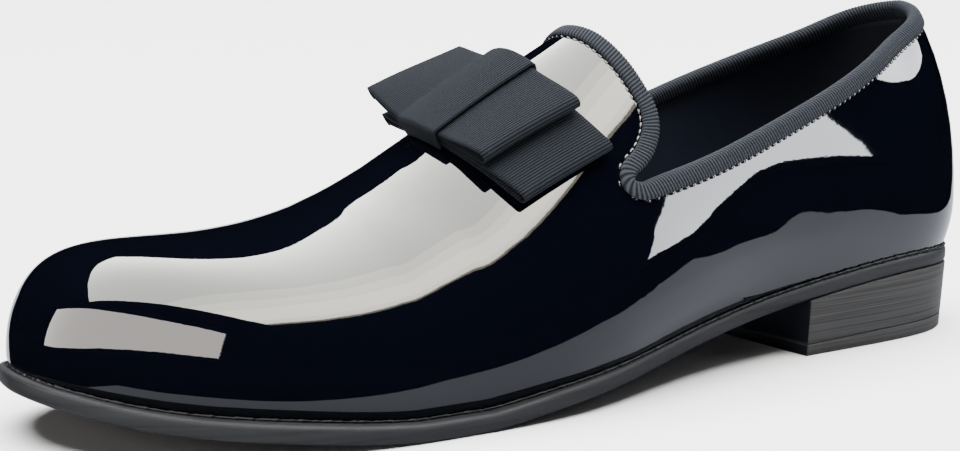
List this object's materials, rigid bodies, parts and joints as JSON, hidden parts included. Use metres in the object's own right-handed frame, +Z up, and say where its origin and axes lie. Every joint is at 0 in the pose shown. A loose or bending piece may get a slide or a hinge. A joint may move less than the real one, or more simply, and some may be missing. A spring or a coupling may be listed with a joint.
{
  "type": "opera pump",
  "caption": "Left patent leather slipper with a flat ribbon bow, ribbed collar binding, thin leather sole and low stacked heel.",
  "frame": {"origin": "on the floor, at the middle of the shoe's bounding box", "axes": "toe towards -Y and heel towards +Y, +X towards the wearer's left (the outer side), +Z up"},
  "size_m": [0.0973, 0.3026, 0.0997],
  "materials": {
    "patent_leather": "black patent, mirror gloss",
    "sole_leather": "dark grey edge dressing, satin",
    "heel_leather": "dark grey stacked layers, satin",
    "lining_leather": "dark navy smooth lining, satin",
    "grosgrain": "charcoal ribbed ribbon"
  },
  "bodies": {
    "root": {"upper": "patent_leather", "outsole": "sole_leather", "heel": "heel_leather", "insole": "lining_leather", "collar_binding": "grosgrain", "bow_lower_loop": "grosgrain", "bow_upper_loop": "grosgrain", "bow_band": "grosgrain"}
  },
  "joints": []
}
